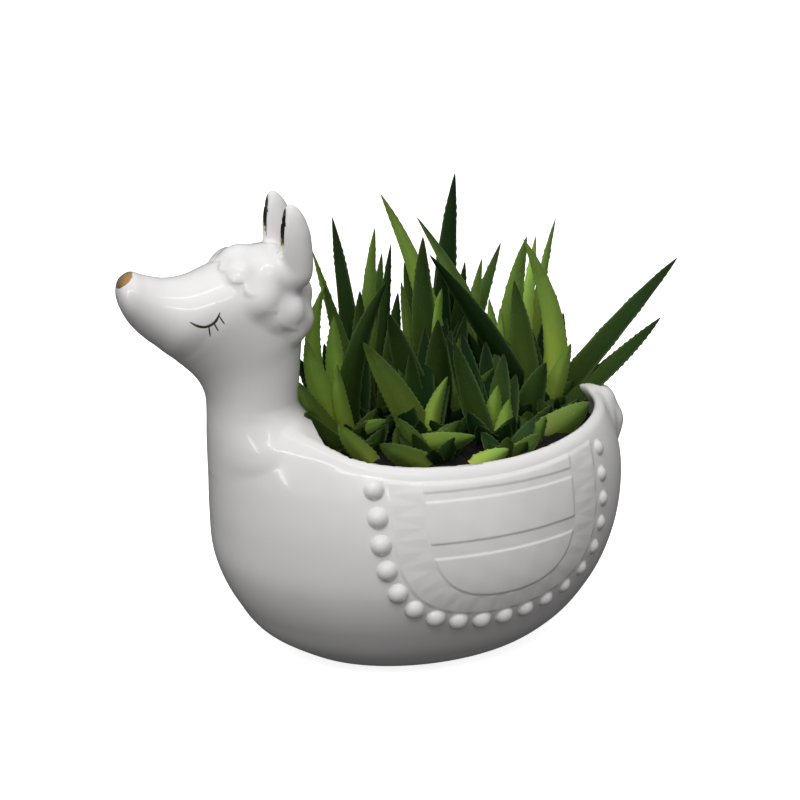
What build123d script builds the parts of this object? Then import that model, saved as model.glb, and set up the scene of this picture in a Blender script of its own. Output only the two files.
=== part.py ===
from build123d import *
import math
import os

os.makedirs("parts", exist_ok=True)

# Driving dimensions, in millimetres. The llama looks toward -X, its left flank faces -Y,
# it stands on Z = 0, and the origin is the centre of its foot.
rim_height = 79.0  # table to the lowest point of the rim
chest_reach = 75.4  # origin forward to the front of the chest
rump_reach = 74.5  # origin back to the rump
body_half_width = 55.0
wall = 4.0  # thickness of the cast ceramic

floor_thickness = 5.5

# Rim: it dips between neck and tail, and rises toward both
rim_rise_at_tail = 5.0
rim_radius = 1.2

# Neck and head. Above the neck the sections turn about a point in front of the throat.
neck_seat_rise = 5.0  # lowest point of the rim up to where neck and body are luted
neck_root_length = 36.9  # front to back of the neck at its seat
neck_root_half_width = 25.5
pivot_lead = 21.6  # front of the chest forward to the pivot
pivot_rise = 12.0  # neck's seat up to the pivot
throat_radius = 20.0  # pivot to the throat
skull_radius = 67.6  # pivot to the back of the skull
skull_half_width = 17.2

# Fleece cap
fleece_thickness = 2.0
curl_radius = 8.0
brow_setback = 27.0  # pivot back to the front edge of the fleece
brow_rise = 46.0  # pivot up to that edge
nape_setback = 49.5  # pivot back to where the fleece ends at the nape
nape_rise = 24.5

# Ears
ear_spacing = 21.0  # centre to centre
ear_setback = 50.4  # pivot back to the middle of an ear
ear_length = 28.6
ear_base_rise = 38.0  # pivot up to the foot of the ears
ear_half_depth = 5.4  # along X
ear_half_width = 4.7  # along Y
scoop_radius = 2.4
scoop_length = 19.0

# Tail
tail_radius = 8.0
tail_drop = 8.5  # lowest point of the rim down to the middle of the tail
tail_overhang = 3.6  # middle of the tail inside the reach of the rump

# Saddle blanket and beads
blanket_centre = 10.6  # behind the origin
blanket_half_length = 36.5
blanket_drop = 4.0  # lowest point of the rim down to the blanket's top
blanket_depth = 43.0
blanket_relief = 1.0
panel_half_length = 27.3
panel_drop = 6.0
panel_depth = 36.0
panel_relief = 1.8
upper_stripe_drop = 7.5
upper_stripe_width = 2.9
lower_stripe_drop = 24.0
lower_stripe_width = 4.9
stripe_relief = 1.2
bead_line_half_length = 42.0
bead_line_drop = 3.0
bead_line_depth = 49.0
bead_count = 19
bead_radius = 3.5
bead_rise = 2.6  # how far a bead stands out of the flank

# Planting
soil_drop = 6.0  # lowest point of the rim down to the soil
soil_clearance = 0.8  # soil drawn back from the curved wall
crown_radius = 4.5
crown_height = 8.0
leaf_length = 90.0  # the longest leaf
leaf_width = 10.0
leaf_thickness = 3.2

overrun = 10.0  # how far a cutting shape runs past what it cuts

# Reaches forward of the origin, and heights above the table, that follow from these
neck_back_reach = chest_reach - neck_root_length
pivot_reach = chest_reach + pivot_lead
brow_reach = pivot_reach - brow_setback
nape_reach = pivot_reach - nape_setback
ear_reach = pivot_reach - ear_setback
neck_seat_height = rim_height + neck_seat_rise
pivot_height = neck_seat_height + pivot_rise
ear_base_height = pivot_height + ear_base_rise
ear_tip_height = ear_base_height + ear_length
brow_height = pivot_height + brow_rise
nape_height = pivot_height + nape_rise
blanket_top_height = rim_height - blanket_drop
panel_top_height = rim_height - panel_drop
upper_stripe_height = rim_height - upper_stripe_drop
lower_stripe_height = rim_height - lower_stripe_drop
bead_line_top_height = rim_height - bead_line_drop
soil_level = rim_height - soil_drop

# Stations of the body, from the foot up, as shares: height of rim_height, front of chest_reach,
# back of rump_reach, half width of body_half_width, and widest place of rump_reach.
body_station_shares = (
    (0.000, 0.605, 0.628, 0.545, 0.000),
    (0.038, 0.660, 0.658, 0.636, 0.000),
    (0.127, 0.790, 0.758, 0.773, 0.000),
    (0.278, 0.903, 0.877, 0.909, 0.000),
    (0.481, 0.985, 0.964, 1.000, 0.013),
    (0.684, 1.000, 1.000, 0.980, 0.040),
    (0.835, 1.000, 0.990, 0.918, 0.080),
    (0.937, 1.000, 0.960, 0.855, 0.120),
    (1.013, 1.000, 0.924, 0.782, 0.160),
    (1.114, 1.000, 0.870, 0.673, 0.170),
)
cavity_floor_shares = (0.640, 0.650, 0.620, 0.000)

# Stations of the neck between its seat and the pivot's height, as shares: height between the two,
# front of chest_reach, back of neck_back_reach, half width of neck_root_half_width, and widest
# place of the way from front to back.
neck_station_shares = (
    (0.00, 1.000, 1.000, 1.000, 0.74),
    (0.33, 0.999, 1.091, 0.830, 0.64),
    (0.66, 0.998, 1.138, 0.710, 0.55),
)

# Stations of the turned sections: angle up from level, in degrees, then throat side as a share of
# throat_radius, crown side of skull_radius, half width of skull_half_width.
skull_station_shares = (
    (0.0, 1.085, 0.775, 0.960),
    (11.0, 1.062, 0.802, 0.930),
    (20.0, 1.035, 0.852, 0.930),
    (29.0, 1.012, 0.940, 0.965),
    (39.0, 0.985, 0.988, 0.990),
    (46.0, 0.980, 0.988, 0.990),
    (50.0, 0.982, 0.960, 0.975),
)
muzzle_station_shares = (
    (50.0, 0.982, 0.960, 0.975),
    (54.0, 0.990, 0.905, 0.950),
    (58.0, 1.000, 0.835, 0.920),
    (66.0, 1.030, 0.713, 0.840),
    (76.0, 1.115, 0.655, 0.690),
    (85.0, 1.230, 0.663, 0.575),
    (92.0, 1.400, 0.682, 0.485),
    (96.5, 1.600, 0.645, 0.370),
    (98.0, 1.830, 0.598, 0.180),
)
quarter_round_share = 0.5523  # handle length of a Bezier quarter that follows an ellipse

# Curls of the fleece: angle up from level at the pivot, in degrees, then distance from the pivot
# as a share of skull_radius, distance from the midplane of skull_half_width, radius of curl_radius.
middle_curl_shares = (
    (50.9, 0.820, 0.0, 1.12),
    (43.7, 0.900, 0.0, 1.20),
    (34.6, 0.898, 0.0, 1.10),
    (28.1, 0.848, 0.0, 1.00),
)
side_curl_shares = (
    (52.0, 0.817, 0.407, 0.875),
    (44.3, 0.885, 0.380, 1.05),
    (44.2, 0.763, 0.605, 1.00),
    (34.0, 0.820, 0.517, 0.94),
    (28.5, 0.865, 0.340, 0.90),
)

# Stations of an ear between its base and its tip, as shares: height between the two, step back of
# ear_half_depth, half depth of ear_half_depth, half width of ear_half_width.
ear_station_shares = (
    (0.00, 0.15, 1.00, 0.90),
    (0.45, 0.00, 1.00, 1.00),
    (0.73, -0.07, 0.84, 0.84),
    (0.91, -0.19, 0.47, 0.48),
    (0.99, -0.30, 0.15, 0.15),
)

# Lobes of the tail: forward and down from its middle, aside from the midplane, and radius, all as
# shares of tail_radius.
tail_lobe_shares = (
    (0.30, -0.85, 0.00, 0.90),
    (0.00, 0.00, 0.00, 1.00),
    (0.16, 0.70, 0.00, 0.96),
    (0.50, -0.20, 0.75, 0.80),
    (0.50, -0.20, -0.75, 0.80),
)
straight_side_share = 0.3  # part of a blanket's depth where its side edge runs straight down
side_handle_share = 0.75
bottom_handle_share = 0.65

# Stations of a leaf from crown to tip, as shares: place of its length, width, and thickness.
leaf_station_shares = (
    (0.00, 0.70, 0.90),
    (0.20, 1.00, 1.00),
    (0.50, 0.86, 0.85),
    (0.80, 0.48, 0.55),
    (1.00, 0.04, 0.08),
)
keel_share = 0.7  # part of a leaf's thickness that lies on its outer side
bow_share = 0.035  # how far a leaf bows outward, of its length

# Rosettes: the crown's place along X and Y as shares of the opening's half length, from its middle,
# and of body_half_width, then its leaves: azimuth and lean from upright, in degrees, length of
# leaf_length, width of leaf_width.
rosette_shares = (
    (-0.708, 0.109, (
        (160, 26, 0.44, 0.75),
        (-160, 10, 0.515, 0.70),
        (-22, 11, 0.655, 0.85),
        (172, 38, 0.350, 0.60),
        (128, 52, 0.230, 0.60),
        (-122, 59, 0.305, 0.75),
        (139, 17, 0.600, 0.70),
        (-60, 62, 0.200, 0.65),
    )),
    (-0.531, 0.473, (
        (-162, 10, 0.850, 0.75),
        (0, 3, 0.780, 0.85),
        (-62, 15, 0.480, 0.75),
        (177, 20, 0.730, 0.45),
        (-38, 5, 0.915, 0.85),
        (95, 55, 0.240, 0.70),
    )),
    (-0.319, -0.164, (
        (178, 30, 0.515, 1.00),
        (-50, 14, 0.310, 0.70),
        (-109, 74, 0.215, 0.80),
        (-50, 66, 0.205, 0.80),
        (-153, 72, 0.275, 0.80),
        (18, 15, 0.420, 0.75),
    )),
    (-0.142, 0.164, (
        (-101, 7, 0.585, 0.80),
        (-170, 5, 0.775, 1.00),
        (168, 12, 0.780, 0.80),
        (4, 19, 0.580, 0.70),
        (-139, 23, 0.485, 0.70),
    )),
    (-0.053, 0.491, (
        (-65, 6, 0.990, 0.80),
        (-142, 9, 0.830, 0.80),
        (-10, 17, 0.630, 0.80),
        (10, 26, 0.730, 0.80),
        (120, 50, 0.250, 0.70),
    )),
    (0.230, -0.236, (
        (-168, 26, 0.260, 0.70),
        (-136, 40, 0.215, 0.70),
        (-122, 76, 0.225, 0.75),
        (-56, 46, 0.170, 0.80),
        (93, 5, 0.630, 0.85),
        (177, 12, 0.360, 0.70),
    )),
    (0.354, 0.182, (
        (-58, 4, 0.745, 1.00),
        (-156, 31, 0.865, 0.75),
        (-87, 8, 0.760, 0.75),
        (75, 42, 0.360, 0.70),
    )),
    (0.538, 0.060, (
        (-10, 37, 0.805, 0.85),
        (-26, 44, 0.590, 0.80),
        (-74, 58, 0.220, 0.80),
        (70, 12, 0.795, 0.80),
        (-81, 12, 0.325, 0.80),
    )),
)


def egg_section(plane, front, back, half_width, widest):
    """A closed egg: quarter rounds from the front to the widest place and on to the back."""
    with BuildSketch(plane) as section:
        with BuildLine():
            nose = (widest - front) * quarter_round_share
            tail = (back - widest) * quarter_round_share
            side = half_width * quarter_round_share
            Bezier((front, 0), (front, side), (widest - nose, half_width), (widest, half_width))
            Bezier((widest, half_width), (widest + tail, half_width), (back, side), (back, 0))
            mirror(about=Plane.XZ)
        make_face()
    return section.sketch


def body_sections(grow=0.0, first=0, floor=None):
    """The body's level sections, grown outward or drawn inward by one distance."""
    sections = []
    if floor is not None:
        front, back, width, widest = cavity_floor_shares
        sections.append(
            egg_section(
                Plane.XY.offset(floor),
                -chest_reach * front - grow,
                rump_reach * back + grow,
                body_half_width * width + grow,
                rump_reach * widest,
            )
        )
    for height, front, back, width, widest in body_station_shares[first:]:
        sections.append(
            egg_section(
                Plane.XY.offset(rim_height * height),
                -chest_reach * front - grow,
                rump_reach * back + grow,
                body_half_width * width + grow,
                rump_reach * widest,
            )
        )
    return sections


def turned_plane(angle):
    """The plane through the pivot that holds Y and rises at this angle from level."""
    rise = math.radians(angle)
    return Plane(
        origin=(-pivot_reach, 0, pivot_height),
        x_dir=(math.cos(rise), 0, math.sin(rise)),
        z_dir=(-math.sin(rise), 0, math.cos(rise)),
    )


def neck_sections(grow=0.0):
    """The neck's level sections from its seat up."""
    sections = []
    for height, front, back, width, widest in neck_station_shares:
        start, end = -chest_reach * front - grow, -neck_back_reach * back + grow
        level = neck_seat_height + (pivot_height - neck_seat_height) * height
        half_width = neck_root_half_width * width + grow
        middle = start + (end - start) * widest
        sections.append(egg_section(Plane.XY.offset(level), start, end, half_width, middle))
    return sections


def turned_sections(stations, grow=0.0):
    """Sections that fan round the pivot, from the top of the neck to the nose."""
    sections = []
    for angle, throat, crown, width in stations:
        start, end = throat_radius * throat - grow, skull_radius * crown + grow
        half_width = skull_half_width * width + grow
        sections.append(egg_section(turned_plane(angle), start, end, half_width, (start + end) / 2))
    return sections


def turned_place(angle, away, aside):
    """A place at this angle up from level at the pivot, away from it and aside from the midplane."""
    rise = math.radians(angle)
    return (-pivot_reach + away * math.cos(rise), aside, pivot_height + away * math.sin(rise))


def ear_sections(aside):
    """Level ovals up an ear, which leans forward a little toward its tip."""
    sections = []
    for height, step, depth, width in ear_station_shares:
        level = ear_base_height + (ear_tip_height - ear_base_height) * height
        middle = -ear_reach + ear_half_depth * step
        with BuildSketch(Plane(origin=(middle, aside, level))) as section:
            Ellipse(ear_half_depth * depth, ear_half_width * width)
        sections.append(section.sketch)
    return sections


def hanging_line(half_length, top, depth):
    """The line of a U in the flank's plane: straight sides, then a broad round bottom."""
    front, back, bottom = blanket_centre - half_length, blanket_centre + half_length, top - depth
    bend = top - depth * straight_side_share
    drop = (bend - bottom) * side_handle_share
    reach = half_length * bottom_handle_share
    Line((front, top), (front, bend))
    Bezier((front, bend), (front, bend - drop), (blanket_centre - reach, bottom), (blanket_centre, bottom))
    Bezier((blanket_centre, bottom), (blanket_centre + reach, bottom), (back, bend - drop), (back, bend))
    Line((back, bend), (back, top))


def hanging_edge(half_length, top, depth):
    """The face of a blanket's U, closed along its top."""
    with BuildSketch(Plane.XZ) as edge:
        with BuildLine():
            hanging_line(half_length, top, depth)
            Line((blanket_centre + half_length, top), (blanket_centre - half_length, top))
        make_face()
    return edge.sketch


def flank_layer(side, relief, face):
    """The part of a layer of this thickness that lies on one flank, within a face of its plane."""
    with BuildPart() as layer:
        loft(body_sections(grow=relief))
        extrude(face, amount=-side * (body_half_width + overrun), mode=Mode.INTERSECT)
    return layer.part


def flank_point(x, z, side):
    """Where a line across the body at this place meets its skin on one flank, and the way out."""
    crossings = body_form.part.find_intersection_points(Axis((x, 0, z), (0, side, 0)))
    return max(crossings, key=lambda crossing: crossing[0].Y * side)


def bead(seat, outward):
    """A dome that stands on the skin at its seat, its ball's centre sunk behind the skin."""
    skin = Plane(origin=seat, z_dir=outward)
    with BuildPart(skin) as dome:
        with Locations((0, 0, bead_rise - bead_radius)):
            Sphere(bead_radius)
        split(bisect_by=skin, keep=Keep.TOP)
    return dome.part


def leaf_sections(crown, azimuth, lean, length, width):
    """Kite-shaped sections along a gently bowed leaf, flat side in and keel out."""
    turn, tilt = math.radians(azimuth), math.radians(lean)
    outward = Vector(math.cos(turn), math.sin(turn), 0)
    side = Vector(-math.sin(turn), math.cos(turn), 0)
    along = outward * math.sin(tilt) + Vector(0, 0, math.cos(tilt))
    bow = outward * math.cos(tilt) - Vector(0, 0, math.sin(tilt))
    sections = []
    for place, breadth, depth in leaf_station_shares:
        bulge = bow_share * length * 4 * place * (1 - place)
        half, thick = width * breadth / 2, leaf_thickness * depth
        plane = Plane(origin=crown + along * (length * place) + bow * bulge, x_dir=side, z_dir=along)
        with BuildSketch(plane) as section:
            with BuildLine():
                keel, face = -thick * keel_share, thick * (1 - keel_share)
                Polyline((-half, 0), (0, keel), (half, 0), (0, face), close=True)
            make_face()
        sections.append(section.sketch)
    return sections


# The body's full outer form, before it is hollowed
with BuildPart() as body_form:
    loft(body_sections())

# The neck and head's full outer form
with BuildPart() as head_form:
    loft(neck_sections() + turned_sections(skull_station_shares))
    loft(turned_sections(muzzle_station_shares))

# Body shell: the cast pot, hollowed to an even wall, with its rim cut to a saddle line
with BuildPart() as body_shell:
    add(body_form.part)
    loft(body_sections(grow=-wall, first=2, floor=floor_thickness), mode=Mode.SUBTRACT)
    with BuildSketch(Plane.XZ):
        with BuildLine():
            seat_end = (-neck_back_reach - wall, neck_seat_height)
            tail_end = (rump_reach + overrun, rim_height + rim_rise_at_tail * 2)
            Spline(
                seat_end,
                (-neck_back_reach + wall / 2, rim_height + (neck_seat_height - rim_height) / 2),
                (-neck_back_reach / 2, rim_height + (neck_seat_height - rim_height) / 8),
                (0, rim_height),
                (rump_reach / 2, rim_height + rim_rise_at_tail / 3),
                (rump_reach - wall * 2, rim_height + rim_rise_at_tail),
                tail_end,
                tangents=[(1, 0), (1, 0.5)],
            )
            Polyline(
                seat_end,
                (-chest_reach - overrun, neck_seat_height),
                (-chest_reach - overrun, neck_seat_height + overrun),
                (rump_reach + overrun, neck_seat_height + overrun),
                tail_end,
            )
        make_face()
    extrude(amount=body_half_width + overrun, both=True, mode=Mode.SUBTRACT)
    rim_edges = edges().filter_by(lambda edge: edge.length > rump_reach).sort_by(Axis.Z)[-4:]
    fillet(rim_edges, rim_radius)
body_shell.part.label = "body_shell"

# Neck and head: one hollow casting, open at its seat
with BuildPart() as neck_and_head:
    add(head_form.part)
    loft(neck_sections(grow=-wall) + turned_sections(skull_station_shares, grow=-wall), mode=Mode.SUBTRACT)
    loft(turned_sections(muzzle_station_shares[:5], grow=-wall), mode=Mode.SUBTRACT)
neck_and_head.part.label = "neck_and_head"

# Potting soil: fills the hollow up to its level
with BuildPart() as potting_soil:
    loft(body_sections(grow=-wall - soil_clearance, first=2, floor=floor_thickness + soil_clearance / 4))
    split(bisect_by=Plane.XY.offset(soil_level), keep=Keep.BOTTOM)
potting_soil.part.label = "potting_soil"


# Fleece cap: a layer over the crown and nape, swelled by soft curls
with BuildPart() as fleece_cap:
    loft(turned_sections(skull_station_shares[1:], grow=fleece_thickness))
    loft(turned_sections(muzzle_station_shares[:4], grow=fleece_thickness))
    with BuildSketch(Plane.XZ):
        with BuildLine():
            Polyline(
                (-brow_reach, brow_height),
                (-nape_reach, nape_height),
                (-nape_reach + skull_half_width, nape_height),
                (-nape_reach + skull_half_width, ear_tip_height),
                (-brow_reach, ear_tip_height),
                close=True,
            )
        make_face()
    extrude(amount=skull_half_width + overrun, both=True, mode=Mode.INTERSECT)
    for side in (-1, 1):
        for angle, away, aside, radius in side_curl_shares + (middle_curl_shares if side > 0 else ()):
            with Locations(turned_place(angle, skull_radius * away, side * skull_half_width * aside)):
                Sphere(curl_radius * radius)
    add(head_form.part, mode=Mode.SUBTRACT)
fleece_cap.part.label = "fleece_cap"

# Ears: upright leaves of clay, scooped on the side that faces forward
ears = []
for name, side in (("left_ear", -1), ("right_ear", 1)):
    with BuildPart() as ear:
        loft(ear_sections(side * ear_spacing / 2))
        front, top = -ear_reach - ear_half_depth, ear_tip_height - scoop_radius
        with BuildSketch(Plane.XZ.offset(-side * ear_spacing / 2)):
            with BuildLine():
                ends = ((front, top), (front, top - scoop_length))
                ThreePointArc(ends[0], (front + scoop_radius, top - scoop_length / 2), ends[1])
                Line(ends[1], ends[0])
            make_face()
        revolve(axis=Axis((front, side * ear_spacing / 2, 0), (0, 0, 1)), mode=Mode.SUBTRACT)
        add(head_form.part, mode=Mode.SUBTRACT)
        add(fleece_cap.part, mode=Mode.SUBTRACT)
    ear.part.label = name
    ears.append(ear)

# Tail tuft: soft lobes on the rump, just under the rim
with BuildPart() as tail_tuft:
    for forward, down, aside, radius in tail_lobe_shares:
        place = (
            rump_reach - tail_overhang - tail_radius * forward,
            tail_radius * aside,
            rim_height - tail_drop - tail_radius * down,
        )
        with Locations(place):
            Sphere(tail_radius * radius)
    add(body_form.part, mode=Mode.SUBTRACT)
tail_tuft.part.label = "tail_tuft"

# Saddle blankets: a low U over each flank, with a raised panel crossed by two sunk stripes
blankets = []
for name, side in (("left_blanket", -1), ("right_blanket", 1)):
    edge = hanging_edge(blanket_half_length, blanket_top_height, blanket_depth)
    panel_edge = hanging_edge(panel_half_length, panel_top_height, panel_depth)
    with BuildSketch(Plane.XZ) as panel_face:
        add(panel_edge)
        with Locations((blanket_centre, upper_stripe_height)):
            Rectangle(blanket_half_length * 2, upper_stripe_width, mode=Mode.SUBTRACT)
        with Locations((blanket_centre, lower_stripe_height)):
            Rectangle(blanket_half_length * 2, lower_stripe_width, mode=Mode.SUBTRACT)
    cloth = flank_layer(side, blanket_relief, edge)
    stripes = flank_layer(side, stripe_relief, panel_edge)
    panel = flank_layer(side, panel_relief, panel_face.sketch)
    with BuildPart() as blanket:
        add([cloth, stripes, panel])
        add(body_form.part, mode=Mode.SUBTRACT)
    blanket.part.label = name
    blankets.append(blanket)

# Beads: pressed domes in an even row round each blanket
bead_sets = []
for name, side in (("left_blanket_beads", -1), ("right_blanket_beads", 1)):
    with BuildLine(Plane.XZ) as bead_line:
        hanging_line(bead_line_half_length, bead_line_top_height, bead_line_depth)
    row = []
    for number in range(bead_count):
        along = bead_line.wires()[0].position_at(number / (bead_count - 1))
        row.append(bead(*flank_point(along.X, along.Z, side)))
    with BuildPart() as beads:
        add(row)
    beads.part.label = name
    bead_sets.append(beads)

# Succulents: rosettes of keeled leaves, each on a short crown that stands on the soil
opening_middle = (rump_reach - neck_back_reach) / 2
opening_half_length = (rump_reach + neck_back_reach) / 2
succulents = []
for number, (along, aside, leaves) in enumerate(rosette_shares, start=1):
    crown = Vector(opening_middle + opening_half_length * along, body_half_width * aside, soil_level)
    with BuildPart() as succulent:
        with Locations(crown):
            Cone(
                crown_radius,
                crown_radius / 3,
                crown_height,
                align=(Align.CENTER, Align.CENTER, Align.MIN),
            )
        for azimuth, lean, length, width in leaves:
            loft(leaf_sections(crown, azimuth, lean, leaf_length * length, leaf_width * width), ruled=True)
        split(bisect_by=Plane.XY.offset(soil_level), keep=Keep.TOP)
    succulent.part.label = f"succulent_{number}"
    succulents.append(succulent)

pieces = [body_shell, neck_and_head, fleece_cap, *ears, tail_tuft, *blankets, *bead_sets, potting_soil]
pieces += succulents
for piece in pieces:
    export_step(piece.part, f"parts/{piece.part.label}.step")
    print(piece.part.label, round(piece.part.volume), piece.part.is_valid, len(piece.part.solids()))
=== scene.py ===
import bmesh
import bpy
import numpy as np
from mathutils import Matrix


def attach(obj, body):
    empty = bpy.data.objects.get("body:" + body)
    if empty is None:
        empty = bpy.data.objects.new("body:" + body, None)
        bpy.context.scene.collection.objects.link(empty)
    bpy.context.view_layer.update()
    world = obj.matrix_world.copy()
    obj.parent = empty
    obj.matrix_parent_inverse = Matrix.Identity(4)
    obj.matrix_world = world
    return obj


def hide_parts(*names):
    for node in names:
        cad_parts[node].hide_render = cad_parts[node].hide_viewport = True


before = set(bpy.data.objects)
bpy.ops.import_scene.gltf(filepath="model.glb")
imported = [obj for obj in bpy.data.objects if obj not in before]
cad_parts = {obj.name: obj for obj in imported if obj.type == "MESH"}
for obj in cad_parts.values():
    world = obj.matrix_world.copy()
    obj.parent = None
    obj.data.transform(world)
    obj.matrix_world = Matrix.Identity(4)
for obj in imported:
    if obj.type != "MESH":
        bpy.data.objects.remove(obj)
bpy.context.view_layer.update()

# The camera stands where the photograph was taken from, in front of the near flank, a little ahead
# of the animal and above it. It looks level across the picture, so two angles set its turn.
camera_place = np.array([-0.17435, -0.4584, 0.27005])
camera_aside = np.radians(19.994)
camera_down = np.radians(20.481)
picture_width = 800
focal_length = 67.73
sensor_width = 36
focal_pixels = focal_length / sensor_width * picture_width
camera_right = np.array([np.cos(camera_aside), -np.sin(camera_aside), 0])
camera_back = np.array([
    -np.sin(camera_aside) * np.cos(camera_down),
    -np.cos(camera_aside) * np.cos(camera_down),
    np.sin(camera_down),
])
camera_up = np.cross(camera_back, camera_right)


def turned_to(right, up, back, place):
    """The matrix of something that stands at a place, with its three axes along these directions."""
    return Matrix([*np.column_stack([right, up, back, place]).tolist(), [0, 0, 0, 1]])


camera_data = bpy.data.cameras.new("camera")
camera_data.sensor_width = sensor_width
camera_data.lens = focal_length
camera = bpy.data.objects.new("camera", camera_data)
camera.matrix_world = turned_to(camera_right, camera_up, camera_back, camera_place)
bpy.context.scene.collection.objects.link(camera)
bpy.context.scene.camera = camera

# The glazed pot. A slip-cast earthenware body, its neck and head luted on while leather hard, then
# dipped in one white glaze that rounds every edge and fills every corner. Its skin is where one
# smooth function of place is zero, so that its forms run into each other as glaze does.
MM = 0.001
skin_slides = 6  # times that the net's points slide onto the skin
least_slope = 0.1
wall = 4.0
floor_thickness = 5.5
rim_round = 2.6
shoulder_round = 9.0
chest_round = 0.3
foot_round = 1.6
floor_round = 6.0
ceiling_round = 2.0
seam_round = 1.5  # where the neck's bore meets the inside
edge_round = 1.0
tail_round = 2.2
nose_round = 2.4
pivot = np.array([-97.0, 0.0, 96.0])
neck_turn = 2.9  # degrees of the head's table for each millimetre below the pivot
neck_seat = 82.3
neck_foot = neck_seat - 12.0  # the neck's form runs down inside the body's
neck_back = -44.0  # behind this the hollow opens upward
opening_run = 8.0
open_height = 120.0
shoulder_start = -58.0  # from here back the corner between body and neck fills
shoulder_run = 18.0

# Body, by height: front, back, half width and widest place of its level sections.
body_stations = np.array([
    (0.0, -45.6, 46.8, 30.0, 0.0),
    (3.0, -49.8, 49.0, 35.0, 0.0),
    (10.0, -59.6, 56.5, 42.5, 0.0),
    (22.0, -68.1, 65.3, 50.0, 0.0),
    (38.0, -74.3, 71.8, 55.0, 1.0),
    (54.0, -75.4, 74.5, 53.9, 3.0),
    (66.0, -75.4, 73.8, 50.5, 6.0),
    (74.0, -75.4, 71.5, 47.0, 8.9),
    (80.0, -75.4, 68.8, 43.0, 11.9),
    (84.0, -75.4, 66.9, 39.0, 12.4),
    (88.0, -75.3, 64.8, 33.6, 12.7),
    (92.0, -75.2, 62.0, 26.5, 12.7),
])
# Head, by degrees round the pivot from level: throat side, crown side, half width and widest place
# between the two sides. Rows below zero are the neck's level sections, down to its foot in the body.
head_stations = np.array([
    (-75.0, 21.6, 60.0, 28.0, 0.74),
    (-47.0, 21.6, 60.0, 27.6, 0.74),
    (-35.0, 21.6, 58.5, 25.5, 0.74),
    (-23.5, 21.7, 55.0, 21.2, 0.64),
    (-12.0, 21.8, 53.2, 18.1, 0.55),
    (0.0, 21.7, 52.4, 16.5, 0.5),
    (11.0, 21.2, 54.2, 16.0, 0.5),
    (20.0, 20.7, 57.6, 16.0, 0.5),
    (29.0, 20.2, 63.5, 16.6, 0.5),
    (39.0, 19.7, 66.8, 17.0, 0.5),
    (46.0, 19.6, 66.8, 17.0, 0.5),
    (50.0, 19.6, 64.9, 16.8, 0.5),
    (54.0, 19.8, 61.2, 16.3, 0.5),
    (58.0, 20.0, 56.4, 15.8, 0.5),
    (66.0, 20.6, 48.2, 14.4, 0.5),
    (76.0, 22.3, 44.3, 11.9, 0.5),
    (85.0, 24.6, 44.8, 9.9, 0.5),
    (92.0, 28.0, 46.1, 8.3, 0.5),
    (96.5, 32.0, 43.6, 6.4, 0.5),
    (98.8, 35.5, 41.0, 3.4, 0.5),
])
nose_end = 98.2
least_half = 0.2
arc_radii = (20.0, 60.0)  # the turn past the nose's end counts as an arc of a radius between these
muzzle_hollow_end = 84.0
# Rim, from the neck's seat to the tail: place along the pot and height.
rim_stations = np.array([
    (-60.0, 91.0), (-49.0, 88.6), (-42.5, 85.6), (-36.5, 83.0), (-28.0, 80.9), (-19.3, 79.8),
    (0.0, 79.0), (37.3, 80.7), (66.5, 84.0), (90.0, 88.0),
])
# Lobes of the tail: centre and radius.
tail_lobes = (
    ((68.5, 0.0, 77.3), 7.2),
    ((70.9, 0.0, 70.5), 8.1),
    ((69.6, 0.0, 64.5), 7.8),
    ((66.0, 6.4, 73.0), 6.6),
    ((66.0, -6.4, 73.0), 6.6),
    ((67.0, 5.0, 66.0), 6.2),
    ((67.0, -5.0, 66.0), 6.2),
)
lobe_round = 2.6


def through(stations, place, column):
    """A smooth cubic through a table's stations, whose slope at each comes from its two neighbours."""
    at, value = stations[:, 0], stations[:, column]
    slope = np.gradient(value, at)
    place = np.clip(place, at[0], at[-1])
    low = np.clip(np.searchsorted(at, place) - 1, 0, len(at) - 2)
    span = at[low + 1] - at[low]
    t = (place - at[low]) / span
    rise = value[low + 1] - value[low]
    bend = (slope[low] * span - rise) * (1 - t) + (rise - slope[low + 1] * span) * t
    return value[low] + rise * t + t * (1 - t) * bend


def step_up(depth, width):
    """A smooth step from 0 to 1 that starts at an edge and is done this far inside it."""
    t = np.clip(depth / width, 0, 1)
    return t * t * (3 - 2 * t)


def blended(a, b, reach):
    """The nearer of two distances, with the corner between them filled over this reach."""
    h = np.clip(0.5 + 0.5 * (b - a) / reach, 0, 1)
    return b + (a - b) * h - reach * h * (1 - h)


def cut(a, b, reach):
    """The further of two distances, which is what two solids share, with the edge between them rounded."""
    return -blended(-a, -b, reach)


def oval_distance(u, v, half_u, half_v):
    """About the distance to an ellipse: its level less one, over the length of that level's slope."""
    ring = np.sqrt((u / half_u) ** 2 + (v / half_v) ** 2) + 1e-9
    return (ring - 1) * ring / np.sqrt((u / half_u**2) ** 2 + (v / half_v**2) ** 2 + 1e-12)


def body_distance(p, grow=0.0):
    """Distance to the body: two half ellipses that meet at each level section's widest place."""
    x, y, z = p[..., 0], p[..., 1], p[..., 2]
    front, back, width, widest = (through(body_stations, z, column) for column in (1, 2, 3, 4))
    half = np.where(x < widest, widest - front, back - widest) + grow
    return oval_distance(x - widest, y, half, width + grow)


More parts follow.
